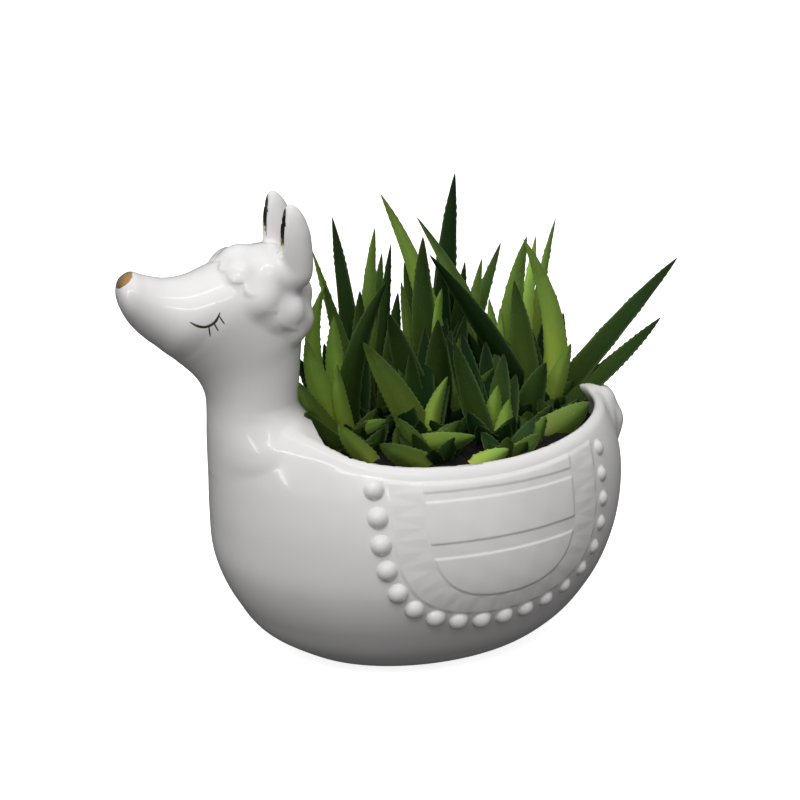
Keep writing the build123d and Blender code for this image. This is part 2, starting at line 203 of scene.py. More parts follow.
def head_distance(p, grow=0.0, end=nose_end, seat=neck_seat):
    """Distance to neck and head: two half ellipses, from the throat and from the crown to the widest
    place, in a plane that turns about the pivot and is level below it. They end at one angle at the nose
    and at one height at the seat."""
    x, y, z = p[..., 0] - pivot[0], p[..., 1], p[..., 2] - pivot[2]
    away = np.where(z > 0, np.hypot(x, z), x)
    angle = np.where(z > 0, np.degrees(np.arctan2(z, x)), z * neck_turn)
    throat, crown, width, share = (through(head_stations, angle, column) for column in (1, 2, 3, 4))
    throat, crown, width = throat - grow, crown + grow, np.maximum(width + grow, least_half)
    widest = throat + (crown - throat) * share
    half = np.maximum(np.where(away < widest, widest - throat, crown - widest), least_half)
    side = oval_distance(away - widest, y, half, width)
    past_end = np.radians(angle - end) * np.clip(away, *arc_radii)
    return cut(cut(side, past_end, nose_round), seat - p[..., 2], edge_round)


def bore_distance(p):
    """Distance to the hollow inside neck and head: their form, smaller by the wall, short of the nose."""
    return head_distance(p, -wall, muzzle_hollow_end, neck_foot)


def lobes(p, balls, reach):
    """Distance to a heap of balls whose creases are filled over this reach."""
    heap = None
    for centre, radius in balls:
        ball = np.linalg.norm(p - np.asarray(centre), axis=-1) - radius
        heap = ball if heap is None else blended(heap, ball, reach)
    return heap


def pot_distance(p):
    """Distance to the pot: body less its hollow, cut at the rim, joined by the hollow neck and the tail.
    The hollow stops at the neck's seat and opens upward behind the neck."""
    x, z = p[..., 0], p[..., 2]
    behind = np.clip((x - neck_back) / opening_run, 0, 1)
    ceiling = neck_seat + open_height * behind**2
    hollow = cut(body_distance(p, -wall), floor_thickness - z, floor_round)
    hollow = cut(hollow, z - ceiling, ceiling_round)
    shell = cut(body_distance(p), -z, foot_round)
    shell = cut(shell, z - through(rim_stations, x, 1), rim_round)
    filled = step_up(x - shoulder_start, shoulder_run)
    joined = blended(shell, head_distance(p, seat=neck_foot), chest_round + shoulder_round * filled)
    joined = cut(cut(joined, -hollow, rim_round), -bore_distance(p), seam_round)
    tail = cut(lobes(p, tail_lobes, lobe_round), -body_distance(p, -wall / 2), edge_round)
    return blended(joined, tail, tail_round)


def slope_of(distance, p, step=0.03):
    """The way out of the skin at each place: the distance's change over a small step along each axis."""
    parts = [distance(p + axis) - distance(p - axis) for axis in np.eye(3) * step]
    return np.stack(parts, -1) / (2 * step)


def skin_net(distance, low, high, step):
    """A net over distance = 0. Each grid cell that the skin crosses gets one point, each grid edge that it
    crosses a quad of the four cells round it, and then the points slide down the slope onto the skin."""
    axes = [np.arange(a, b + step, step) for a, b in zip(low, high)]
    sheets = [distance(np.stack(np.meshgrid([x], axes[1], axes[2], indexing="ij"), -1)) for x in axes[0]]
    value = np.concatenate(sheets, 0)
    inside = value < 0
    shape = np.array(value.shape) - 1
    corners = [(i, j, k) for i in (0, 1) for j in (0, 1) for k in (0, 1)]

    def at_corner(grid, c):
        return grid[c[0]:c[0] + shape[0], c[1]:c[1] + shape[1], c[2]:c[2] + shape[2]]

    filled = sum(at_corner(inside, c).astype(int) for c in corners)
    mixed = (filled > 0) & (filled < 8)
    number = np.full(shape, -1)
    number[mixed] = np.arange(mixed.sum())
    points = np.asarray(low) + step * (np.argwhere(mixed) + 0.5)
    quads = []
    for axis in range(3):
        u, v = (axis + 1) % 3, (axis + 2) % 3
        here = np.take(inside, range(inside.shape[axis] - 1), axis)
        there = np.take(inside, range(1, inside.shape[axis]), axis)
        edge = np.argwhere(here != there)
        edge = edge[(edge[:, u] > 0) & (edge[:, v] > 0) & (edge[:, u] < shape[u]) & (edge[:, v] < shape[v])]
        ring = []
        for du, dv in ((1, 1), (0, 1), (0, 0), (1, 0)):
            cell = edge.copy()
            cell[:, u] -= du
            cell[:, v] -= dv
            ring.append(number[tuple(cell.T)])
        quad = np.stack(ring, 1)
        leaving = here[tuple(edge.T)]
        quad[~leaving] = quad[~leaving][:, ::-1]
        quads.append(quad)
    for _ in range(skin_slides):
        slope = slope_of(distance, points)
        steep = np.maximum((slope**2).sum(-1, keepdims=True), least_slope)
        points = points - np.clip(distance(points)[:, None] * slope / steep, -step / 2, step / 2)
    return points, np.concatenate(quads)


def cut_level(points, quads, level, keep_above):
    """The part of a net above or below one level, closed there by a flat ring."""
    mesh = bmesh.new()
    made = [mesh.verts.new(point) for point in points.tolist()]
    for quad in quads.tolist():
        mesh.faces.new([made[k] for k in quad])
    everything = mesh.verts[:] + mesh.edges[:] + mesh.faces[:]
    halved = bmesh.ops.bisect_plane(
        mesh, geom=everything, plane_co=(0, 0, level), plane_no=(0, 0, 1),
        clear_outer=not keep_above, clear_inner=keep_above,
    )
    edges = [part for part in halved["geom_cut"] if isinstance(part, bmesh.types.BMEdge)]
    facing = (0, 0, -1) if keep_above else (0, 0, 1)
    bmesh.ops.triangle_fill(mesh, use_beauty=True, edges=edges, normal=facing)
    return mesh


def glazed(name, mesh, distance, finish):
    """An object of this net, in metres, smooth, with the way out of the skin as its normals."""
    data = bpy.data.meshes.new(name)
    mesh.to_mesh(data)
    mesh.free()
    places = np.zeros(len(data.vertices) * 3)
    data.vertices.foreach_get("co", places)
    places = places.reshape(-1, 3)
    data.vertices.foreach_set("co", (places * MM).ravel())
    data.polygons.foreach_set("use_smooth", np.ones(len(data.polygons), bool))
    outward = slope_of(distance, places)
    outward /= np.linalg.norm(outward, axis=-1, keepdims=True) + 1e-12
    data.normals_split_custom_set_from_vertices(outward.tolist())
    data.materials.append(finish)
    made = bpy.data.objects.new(name, data)
    bpy.context.scene.collection.objects.link(made)
    return made


def porcelain(name):
    """White glaze over white clay: clear, glossy, a little clouded, with the long ripple of a dipped coat."""
    made = bpy.data.materials.new(name)
    made.use_nodes = True
    nodes, links = made.node_tree.nodes, made.node_tree.links
    shader = nodes["Principled BSDF"]
    shader.inputs["Roughness"].default_value = 0.17
    shader.inputs["IOR"].default_value = 1.5
    shader.inputs["Coat Weight"].default_value = 0.4
    shader.inputs["Coat Roughness"].default_value = 0.06
    where = nodes.new("ShaderNodeTexCoord")
    cloud = nodes.new("ShaderNodeTexNoise")
    cloud.inputs["Scale"].default_value = 24
    cloud.inputs["Detail"].default_value = 3
    tint = nodes.new("ShaderNodeValToRGB")
    tint.color_ramp.elements[0].position = 0.35
    tint.color_ramp.elements[0].color = (0.76, 0.737, 0.73, 1)
    tint.color_ramp.elements[1].position = 0.65
    tint.color_ramp.elements[1].color = (0.81, 0.79, 0.785, 1)
    ripple = nodes.new("ShaderNodeTexNoise")
    ripple.inputs["Scale"].default_value = 55
    ripple.inputs["Detail"].default_value = 1
    bump = nodes.new("ShaderNodeBump")
    bump.inputs["Strength"].default_value = 0.06
    bump.inputs["Distance"].default_value = 0.001
    links.new(where.outputs["Object"], cloud.inputs["Vector"])
    links.new(where.outputs["Object"], ripple.inputs["Vector"])
    links.new(cloud.outputs["Fac"], tint.inputs["Fac"])
    links.new(tint.outputs["Color"], shader.inputs["Base Color"])
    links.new(ripple.outputs["Fac"], bump.inputs["Height"])
    links.new(bump.outputs["Normal"], shader.inputs["Normal"])
    return made


white_glaze = porcelain("white_glaze")
neck_joint = 100.0
pot_step = 1.3
pot_net = skin_net(pot_distance, (-79, -59, -3), (83, 59, neck_joint + 3 * pot_step), pot_step)
pot = glazed("glazed_pot", cut_level(*pot_net, neck_joint, False), pot_distance, white_glaze)
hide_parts("body_shell", "tail_tuft")
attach(pot, "root")

# The glazed head. Neck, skull and muzzle are one hollow casting. The topknot's curls are pressed on
# in soft clay and the ears are rolled leaves, scooped in front, all under the same glaze. The nose
# and the ear scoops are brushed with gold lustre and fired once more.
fleece_thickness = 1.4
fleece_round = 1.4
brow_top = (-68.8, 141.4)  # X and Z of two places on the line behind which the fleece lies
brow_foot = (-47.5, 120.5)
brow_shift = 1.5
brow_round = 1.6
scallop_pitch = 8.5
scallop_depth = 2.4
scallop_lean = 0.9  # how far the scallops move down the line for each millimetre aside
nape_end = 119.0
nape_round = 2.4
curl_round = 2.5
# Curls: degrees up from level at the pivot, distance from it, distance aside, radius.
middle_curls = ((50.9, 55.4, 9.0), (43.7, 60.8, 9.6), (34.6, 60.4, 8.6), (28.1, 56.6, 7.6))
side_curls = (
    (52.0, 53.9, 7.4, 7.0),
    (44.3, 59.8, 6.5, 8.4),
    (44.2, 51.6, 10.4, 8.0),
    (36.5, 51.2, 11.6, 5.6),
    (34.0, 55.4, 8.9, 7.5),
    (28.5, 57.4, 5.9, 6.6),
    (27.0, 53.5, 9.2, 5.2),
)
ear_aside = 10.5
# Ear, by height: middle along X, half depth and half width.
ear_stations = np.array([
    (134.0, -46.8, 4.2, 4.0),
    (141.0, -46.2, 5.0, 4.5),
    (148.0, -46.6, 5.3, 4.7),
    (154.9, -47.0, 4.6, 4.0),
    (159.6, -47.5, 2.9, 2.6),
    (162.4, -48.1, 1.1, 1.0),
])
ear_tip = 162.3
ear_tip_round = 1.5
ear_foot_round = 6.0
ear_round = 2.6  # where the ears meet the fleece
scoop_round = 0.7
scoop_centre = np.array([-52.4, ear_aside, 153.0])
scoop_radii = np.array([4.0, 2.1, 9.0])
gold_darkens_between = (149.0, 152.0)  # between these heights the gold in the ears turns dark


def turned_place(angle, away, aside):
    """A place at this angle up from level at the pivot, so far away from it and aside from the midplane."""
    rise = np.radians(angle)
    return (pivot[0] + away * np.cos(rise), aside, pivot[2] + away * np.sin(rise))


curls = [(turned_place(angle, away, 0.0), radius) for angle, away, radius in middle_curls]
for angle, away, aside, radius in side_curls:
    curls += [(turned_place(angle, away, side * aside), radius) for side in (-1, 1)]


def fleece_distance(p):
    """Distance to the fleece: a layer over the skull behind a scalloped brow line, heaped with curls."""
    x, z = p[..., 0] - brow_top[0], p[..., 2] - brow_top[1]
    way = np.array(brow_foot) - brow_top
    way = way / np.linalg.norm(way)
    down = x * way[0] + z * way[1] + scallop_lean * np.abs(p[..., 1])
    before = x * way[1] - z * way[0] + brow_shift
    before = before - scallop_depth * np.abs(np.sin(np.pi * down / scallop_pitch))
    layer = cut(head_distance(p, fleece_thickness), before, brow_round)
    layer = cut(layer, nape_end - p[..., 2], nape_round)
    return blended(layer, lobes(p, curls, curl_round), fleece_round)


def ear_distance(p):
    """Distance to both ears: ovals up their height, less an egg-shaped scoop in front."""
    q = np.stack([p[..., 0], np.abs(p[..., 1]), p[..., 2]], -1)
    middle, depth, width = (through(ear_stations, q[..., 2], column) for column in (1, 2, 3))
    leaf = oval_distance(q[..., 0] - middle, q[..., 1] - ear_aside, depth, width)
    leaf = cut(leaf, q[..., 2] - ear_tip, ear_tip_round)
    leaf = cut(leaf, ear_stations[0, 0] - q[..., 2], ear_foot_round)
    inside = (q - scoop_centre) / scoop_radii
    ring = np.linalg.norm(inside, axis=-1) + 1e-9
    scoop = (ring - 1) * ring / (np.linalg.norm(inside / scoop_radii, axis=-1) + 1e-9)
    return cut(leaf, -scoop, scoop_round)


def llama_head_distance(p):
    """Distance to the whole head: neck, skull and muzzle, fleece and ears, less the hollow inside."""
    head = blended(pot_distance(p), fleece_distance(p), fleece_round)
    head = blended(head, ear_distance(p), ear_round)
    return cut(head, -bore_distance(p), seam_round)


def gold_over(made, *spots):
    """Gold lustre on the glaze inside each egg-shaped spot, whose brushed edge wavers a little. High in the
    ears it turns dark."""
    nodes, links = made.node_tree.nodes, made.node_tree.links
    shader = nodes["Principled BSDF"]
    where = nodes.new("ShaderNodeTexCoord")
    waver = nodes.new("ShaderNodeTexNoise")
    waver.inputs["Scale"].default_value = 700
    links.new(where.outputs["Object"], waver.inputs["Vector"])
    nearest = None
    for centre, radii in spots:
        shift = nodes.new("ShaderNodeVectorMath")
        shift.operation = "SUBTRACT"
        shift.inputs[1].default_value = [c * MM for c in centre]
        links.new(where.outputs["Object"], shift.inputs[0])
        scale = nodes.new("ShaderNodeVectorMath")
        scale.operation = "DIVIDE"
        scale.inputs[1].default_value = [r * MM for r in radii]
        links.new(shift.outputs[0], scale.inputs[0])
        length = nodes.new("ShaderNodeVectorMath")
        length.operation = "LENGTH"
        links.new(scale.outputs[0], length.inputs[0])
        if nearest is None:
            nearest = length.outputs["Value"]
        else:
            least = nodes.new("ShaderNodeMath")
            least.operation = "MINIMUM"
            links.new(nearest, least.inputs[0])
            links.new(length.outputs["Value"], least.inputs[1])
            nearest = least.outputs[0]
    ragged = nodes.new("ShaderNodeMath")
    ragged.operation = "MULTIPLY_ADD"
    ragged.inputs[1].default_value = 0.16
    links.new(waver.outputs["Fac"], ragged.inputs[0])
    links.new(nearest, ragged.inputs[2])
    amount = nodes.new("ShaderNodeMapRange")
    amount.inputs["From Min"].default_value = 1.1
    amount.inputs["From Max"].default_value = 1.04
    links.new(ragged.outputs[0], amount.inputs["Value"])
    gild = nodes.new("ShaderNodeMix")
    gild.data_type = "RGBA"
    parts = nodes.new("ShaderNodeSeparateXYZ")
    height = nodes.new("ShaderNodeMapRange")
    height.inputs["From Min"].default_value = gold_darkens_between[0] * MM
    height.inputs["From Max"].default_value = gold_darkens_between[1] * MM
    # Above the lower of these heights the gold in the ears turns dark.
    worn = nodes.new("ShaderNodeMix")
    worn.data_type = "RGBA"
    worn.inputs["A"].default_value = (0.66, 0.38, 0.13, 1)
    worn.inputs["B"].default_value = (0.09, 0.085, 0.05, 1)
    links.new(where.outputs["Object"], parts.inputs[0])
    links.new(parts.outputs["Z"], height.inputs["Value"])
    links.new(height.outputs["Result"], worn.inputs["Factor"])
    links.new(worn.outputs["Result"], gild.inputs["B"])
    glaze_colour = shader.inputs["Base Color"].links[0].from_socket
    links.new(amount.outputs["Result"], gild.inputs["Factor"])
    links.new(glaze_colour, gild.inputs["A"])
    links.new(gild.outputs["Result"], shader.inputs["Base Color"])
    links.new(amount.outputs["Result"], shader.inputs["Metallic"])
    return made


head_glaze = gold_over(
    porcelain("white_glaze_with_gold"),
    ((-100.9, 0.0, 140.4), (4.7, 5.0, 3.0)),
    ((-51.6, ear_aside, 154.0), (3.9, 2.2, 8.2)),
    ((-51.6, -ear_aside, 154.0), (3.9, 2.2, 8.2)),
)
head_step = 0.72
head_net = skin_net(
    llama_head_distance, (-106, -22, neck_joint - 3 * head_step), (-30, 22, 165), head_step
)
head = glazed("glazed_head", cut_level(*head_net, neck_joint, True), llama_head_distance, head_glaze)
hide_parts("neck_and_head", "fleece_cap", "left_ear", "right_ear")
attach(head, "root")

# The closed eyes. Each lid and its lashes are drawn on the fired glaze with a fine brush in dark
# gold, a raised line a few hundredths of a millimetre thick.
lid_half_width = 0.48
lash_half_width = 0.26
paint_thickness = 0.07
crown_share = 1.2  # the paint's height at a stroke's middle, and how much less it is at its sides
fall_share = 1.5
stroke_end_share = 0.35  # a stroke's width at its ends, and how fast it widens from them
stroke_swell = 3.2
stroke_rows = 33
stroke_columns = 7
cheek_start = 12.0  # the search for the cheek's skin starts this far aside
cheek_steps = 30
lid_line = ((-82.6, 128.4), (-80.5, 127.2), (-78.3, 126.7), (-76.2, 127.3), (-74.6, 128.6), (-73.2, 131.0))
lash_lines = (
    ((-77.0, 126.9), (-76.8, 125.1), (-76.6, 123.4)),
    ((-75.4, 127.9), (-74.7, 126.4), (-74.1, 125.1)),
    ((-73.6, 130.0), (-72.8, 128.5), (-72.1, 127.3)),
)


def on_cheek(x, z, side):
    """Places on one cheek at these X and Z, found by stepping Y down the distance."""
    y = np.full_like(x, side * cheek_start)
    for _ in range(cheek_steps):
        y = y - side * head_distance(np.stack([x, y, z], -1))
    return np.stack([x, y, z], -1)


def brush_stroke(line, half_width, side):
    """A ribbon along a smooth line on the cheek, narrower at both ends. Its height falls with the square
    of the way across, and its sides dip under the glaze."""
    line = np.array(line)
    at = np.linspace(0, 1, len(line))
    t = np.linspace(0, 1, stroke_rows)
    table = np.column_stack([at, line])
    x, z = through(table, t, 1), through(table, t, 2)
    along = np.stack([np.gradient(x), np.gradient(z)], -1)
    along /= np.linalg.norm(along, axis=-1, keepdims=True)
    across = np.linspace(-1, 1, stroke_columns)[None, :]
    swell = np.minimum(1, stroke_end_share + stroke_swell * np.minimum(t, 1 - t))
    width = half_width * swell[:, None]
    px = x[:, None] + across * width * along[:, 1:]
    pz = z[:, None] - across * width * along[:, :1]
    seat = on_cheek(px, pz, side)
    out = slope_of(head_distance, seat)
    out /= np.linalg.norm(out, axis=-1, keepdims=True)
    return seat + out * (paint_thickness * (crown_share - fall_share * across**2))[..., None]


def sheet_faces(rows, columns, first=0, flip=False):
    """The quads of a grid of this many points each way, numbered row by row."""
    r, c = np.meshgrid(np.arange(rows - 1), np.arange(columns - 1), indexing="ij")
    corner = (r * columns + c).ravel() + first
    quads = np.stack([corner, corner + 1, corner + columns + 1, corner + columns], 1)
    return quads[:, ::-1] if flip else quads


def piece_of(name, points, faces, finish):
    """A smooth object of these points, in millimetres, and faces."""
    data = bpy.data.meshes.new(name)
    data.from_pydata((points * MM).tolist(), [], faces if isinstance(faces, list) else faces.tolist())
    data.polygons.foreach_set("use_smooth", np.ones(len(data.polygons), bool))
    data.materials.append(finish)
    made = bpy.data.objects.new(name, data)
    bpy.context.scene.collection.objects.link(made)
    return made


def dark_gold():
    """Dark gold paint: brown where it is thin, with a dull metal glint."""
    made = bpy.data.materials.new("dark_gold_paint")
    made.use_nodes = True
    nodes, links = made.node_tree.nodes, made.node_tree.links
    shader = nodes["Principled BSDF"]
    shader.inputs["Roughness"].default_value = 0.35
    shader.inputs["Metallic"].default_value = 0.55
    where = nodes.new("ShaderNodeTexCoord")
    patchy = nodes.new("ShaderNodeTexNoise")
    patchy.inputs["Scale"].default_value = 900
    tint = nodes.new("ShaderNodeValToRGB")
    tint.color_ramp.elements[0].color = (0.03, 0.022, 0.014, 1)
    tint.color_ramp.elements[1].color = (0.14, 0.1, 0.06, 1)
    links.new(where.outputs["Object"], patchy.inputs["Vector"])
    links.new(patchy.outputs["Fac"], tint.inputs["Fac"])
    links.new(tint.outputs["Color"], shader.inputs["Base Color"])
    return made


eye_paint = dark_gold()
for name, side in (("left_eye_line", -1), ("right_eye_line", 1)):
    strokes, faces, count = [], [], 0
    for line, half_width in [(lid_line, lid_half_width)] + [(lash, lash_half_width) for lash in lash_lines]:
        stroke = brush_stroke(line, half_width, side)
        faces.append(sheet_faces(*stroke.shape[:2], first=count, flip=side > 0))
        strokes.append(stroke.reshape(-1, 3))
        count += len(strokes[-1])
    eye = piece_of(name, np.concatenate(strokes), np.concatenate(faces), eye_paint)
    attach(eye, "root")

# The saddle blankets. Each is cast in low relief on its flank: a border of shallow facets round a
# raised panel that two grooved bands cross, with a row of pressed beads hung round its edge.
blanket_centre = 10.6
blanket_outline = (38.6, 75.0, 45.4)  # half length, top and depth
panel_outline = (27.3, 73.0, 36.0)
bead_outline = (42.0, 76.0, 49.0)
straight_share = 0.3
side_handle = 0.75
bottom_handle = 0.65
blanket_height = 0.5
blanket_edge = 1.6  # over this much of its edge a part of the relief rises to its height
panel_height = 0.38
panel_edge = 1.3
facet_height = 0.16
facet_pitch = 0.052  # as a share of the panel's outline
facet_middle = 0.35
facet_margin = 0.4  # the facets start this far inside the blanket's edge and end this far under the panel
facet_overlap = 0.2
facet_edges = (1.2, 0.8)
groove_depth = 0.36
band_edge = 0.8
band_margin = 0.3
hand_height = 0.05  # the slow unevenness of a hand-finished model
upper_band = (71.5, 2.9)  # height of its middle and its width
lower_band = (55.0, 4.9)
bead_count = 19
bead_radius = 3.5
bead_rise = 2.5
bead_inset = 1.4  # the end beads stand this far inside the ends of their line
bead_round = 0.35
wear_start = 2.6  # behind this X the beads are lower and smaller under the glaze
wear_run = 38.0
wear_share = 0.4
shrink_share = 0.2
line_above = 12.0  # outlines run on above the rim
skin_outline = (48.5, 76.0, 55.5)  # the relief's own skin ends here
skin_reach = 49.5
skin_foot = 21.5
skin_height = 60.0
skin_sink = 0.16  # its edge dips this far under the glaze of the pot
skin_edge = 2.5
skin_lift = 0.03
skin_overlap = 0.6
rim_gap = 0.2
rim_fade = 2.0
saddle_step = 0.34


def hanging_line(half_length, top, depth):
    """Points of a U: straight down one side, round the broad bottom in two cubic curves, and up the other."""
    bend, bottom = top - depth * straight_share, top - depth
    drop, reach = (bend - bottom) * side_handle, half_length * bottom_handle
    t = np.linspace(0, 1, 60)[:, None]
    ends = ((half_length, bend), (half_length, bend - drop), (reach, bottom), (0.0, bottom))
    weights = ((1 - t) ** 3, 3 * t * (1 - t) ** 2, 3 * t**2 * (1 - t), t**3)
    round_part = sum(weight * np.array(end) for weight, end in zip(weights, ends))
    half = np.concatenate([[(half_length, top + line_above)], [(half_length, top)], round_part])
    mirrored = half[:-1][::-1] * (-1, 1)
    return np.concatenate([half, mirrored]) + (blanket_centre, 0)


def inside_line(x, z, line):
    """How far each place lies inside a line of points, negative outside, and its share of the way round."""
    start, end = line[:-1], line[1:]
    span = end - start
    length = np.linalg.norm(span, axis=1)
    offset_x, offset_z = x[..., None] - start[:, 0], z[..., None] - start[:, 1]
    t = np.clip((offset_x * span[:, 0] + offset_z * span[:, 1]) / length**2, 0, 1)
    gap = np.hypot(offset_x - t * span[:, 0], offset_z - t * span[:, 1])
    side = np.sign(span[:, 1] * offset_x - span[:, 0] * offset_z)
    nearest = gap.argmin(-1)[..., None]
    way = np.concatenate([[0], np.cumsum(length)])
    share = (way[:-1] + t * length) / way[-1]

    def at_nearest(grid):
        return np.take_along_axis(grid, nearest, -1)[..., 0]

    return at_nearest(gap) * at_nearest(side), at_nearest(share)


def band(z, middle_and_width):
    """1 inside a level band with soft edges, 0 outside."""
    middle, width = middle_and_width
    return step_up(width / 2 - np.abs(z - middle) + band_margin, band_edge)


def flank(x, z, side):
    """The place on the body's skin at these X and Z: half the section's width there, to one side."""
    front, back, width, widest = (through(body_stations, z, column) for column in (1, 2, 3, 4))
    half = np.where(x < widest, widest - front, back - widest)
    y = width * np.sqrt(np.maximum(1 - ((x - widest) / half) ** 2, 0))
    return np.stack([x, side * y, z], -1)


def bead_seats(side):
    """Seats of the beads, evenly spaced along their U."""
    line = hanging_line(*bead_outline)[1:-1]
    way = np.concatenate([[0], np.cumsum(np.linalg.norm(np.diff(line, axis=0), axis=1))])
    at = np.linspace(bead_inset, way[-1] - bead_inset, bead_count)
    return flank(np.interp(at, way, line[:, 0]), np.interp(at, way, line[:, 1]), side)


def saddle_relief(x, z, seat, side):
    """Height of the relief over the skin: a step up at the blanket's edge, facets folded between it and
    the panel, a step up at the panel less its grooves, a slow wave, and the beads' domes over all."""
    in_blanket, _ = inside_line(x, z, hanging_line(*blanket_outline))
    in_panel, share = inside_line(x, z, hanging_line(*panel_outline))
    relief = blanket_height * step_up(in_blanket, blanket_edge)
    wave = np.abs((share / facet_pitch) % 1 - 0.5) * 2
    border = step_up(in_blanket - facet_margin, facet_edges[0])
    border = border * step_up(facet_overlap - in_panel, facet_edges[1])
    across = np.clip(in_blanket / np.maximum(in_blanket - in_panel, 0.1), 0, 1)
    relief = relief + border * facet_height * (np.abs(wave - across) - facet_middle)
    on_panel = step_up(in_panel, panel_edge)
    hollow = band(z, upper_band) + band(z, lower_band)
    relief = relief + on_panel * (panel_height - groove_depth * np.minimum(hollow, 1))
    relief = relief + hand_height * np.sin(x * 0.55 + z * 0.2) * np.sin(z * 0.47 - x * 0.13)
    for place in bead_seats(side):
        worn = 1 - wear_share * step_up(place[0] - wear_start, wear_run)
        radius = bead_radius * (1 - shrink_share + shrink_share * worn)
        gap = np.linalg.norm(seat - place, axis=-1)
        dome = np.sqrt(np.maximum(radius**2 - gap**2, 0)) - (radius - bead_rise * worn)
        relief = -blended(-relief, -dome, bead_round)
    return relief


for name, side, blanket, beads in (
    ("left_saddle", -1, "left_blanket", "left_blanket_beads"),
    ("right_saddle", 1, "right_blanket", "right_blanket_beads"),
):
    u = np.arange(-skin_reach, skin_reach + saddle_step, saddle_step)
    v = np.arange(0, 1 + 1e-6, saddle_step / skin_height)
    x = blanket_centre + np.repeat(u[:, None], len(v), 1)
    top = through(rim_stations, x, 1) - rim_round - rim_gap
    z = skin_foot + (top - skin_foot) * v[None, :]
    seat = flank(x, z, side)
    out = slope_of(body_distance, seat)
    out /= np.linalg.norm(out, axis=-1, keepdims=True)
    relief = saddle_relief(x, z, seat, side) * step_up(top - z, rim_fade)
    in_skin, _ = inside_line(x, z, hanging_line(*skin_outline))
    sunk = skin_sink * (1 - step_up(np.minimum(in_skin, (top - z) * 2), skin_edge)) - skin_lift
    unfaded = seat + out * relief[..., None]
    points = seat + out * (relief - sunk)[..., None]
    kept = np.asarray(in_skin > -skin_overlap)
    faces = sheet_faces(*x.shape, flip=side < 0)
    faces = faces[kept.ravel()[faces].all(1)]
    used, faces = np.unique(faces, return_inverse=True)
    faces = faces.reshape(-1, 4)
    along_u, along_v = np.gradient(unfaded, axis=0), np.gradient(unfaded, axis=1)
    normal = np.cross(along_u, along_v)
    normal *= np.sign((normal * out).sum(-1, keepdims=True)) / np.linalg.norm(normal, axis=-1, keepdims=True)
    saddle = piece_of(name, points.reshape(-1, 3)[used], faces, white_glaze)
    saddle.data.normals_split_custom_set_from_vertices(normal.reshape(-1, 3)[used].tolist())
    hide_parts(blanket, beads)
    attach(saddle, "root")

# The potting soil. Dark peat with fine crumbs, filled in round the roots and pressed down by hand,
# so that it lies a little below the rim.
soil_level = 73.0
soil_surface = soil_level - 0.5  # the crumbs' middle height
soil_gap = 0.9  # drawn back from the wall
soil_floor = 6.5
soil_middle = 0.002  # the profile starts and ends this share of the way to the wall
soil_shoulder = 1.0
wall_rings = 24
floor_rings = 7
crumb_height = 0.55
crumb_sink = 0.3
crumb_fade = 0.03  # over this share of the way in from the wall
crumb_seed = 4
crumb_count = 26
crumb_lengths = (2.2, 9.0)


def ripples(x, y, seed, waves, shortest, longest):
    """A sum of level waves of random direction, length and phase, divided by the root of their number. Each
    is as high as it is long, and the longest would be one high."""
    draw = np.random.default_rng(seed)
    total = np.zeros_like(x)
    for _ in range(waves):
        turn, phase = draw.uniform(0, 2 * np.pi, 2)
        length = draw.uniform(shortest, longest)
        total += length / longest * np.sin((x * np.cos(turn) + y * np.sin(turn)) * 2 * np.pi / length + phase)
    return total / np.sqrt(waves)


def soil_points(rings, turns):
    """The soil's skin: a profile from its middle to the wall, down the wall and back under, carried round."""
    top = np.linspace(soil_middle, 1, rings)
    under = np.linspace(1, soil_middle, floor_rings + 1)[1:]
    share = np.concatenate([top, np.ones(wall_rings), under])
    down = np.linspace(soil_level - soil_shoulder, soil_floor, wall_rings)
    level = np.concatenate([np.full(rings, soil_level), down, np.full(floor_rings, soil_floor)])
    turn = np.linspace(0, 2 * np.pi, turns, endpoint=False)[None, :]
    level = np.repeat(level[:, None], turns, 1)
    front, back, width, widest = (through(body_stations, level, column) for column in (1, 2, 3, 4))
    half = np.where(np.cos(turn) < 0, widest - front, back - widest) - wall - soil_gap
    x = widest + share[:, None] * half * np.cos(turn)
    y = share[:, None] * (width - wall - soil_gap) * np.sin(turn)
    crumbs = crumb_height * ripples(x, y, crumb_seed, crumb_count, *crumb_lengths) - crumb_sink
    crumbs = step_up(1 - share[:, None], crumb_fade) * crumbs
    z = np.where(level > soil_surface, soil_surface + crumbs, level)
    return np.stack([x, y, z], -1)


def ring_faces(rings, turns, first=0, flip=False):
    """The quads of rings of points joined round, ring by ring."""
    r, c = np.meshgrid(np.arange(rings - 1), np.arange(turns), indexing="ij")
    corner, beside = (r * turns + c).ravel() + first, (r * turns + (c + 1) % turns).ravel() + first
    quads = np.stack([corner, corner + turns, beside + turns, beside], 1)
    return quads[:, ::-1] if flip else quads


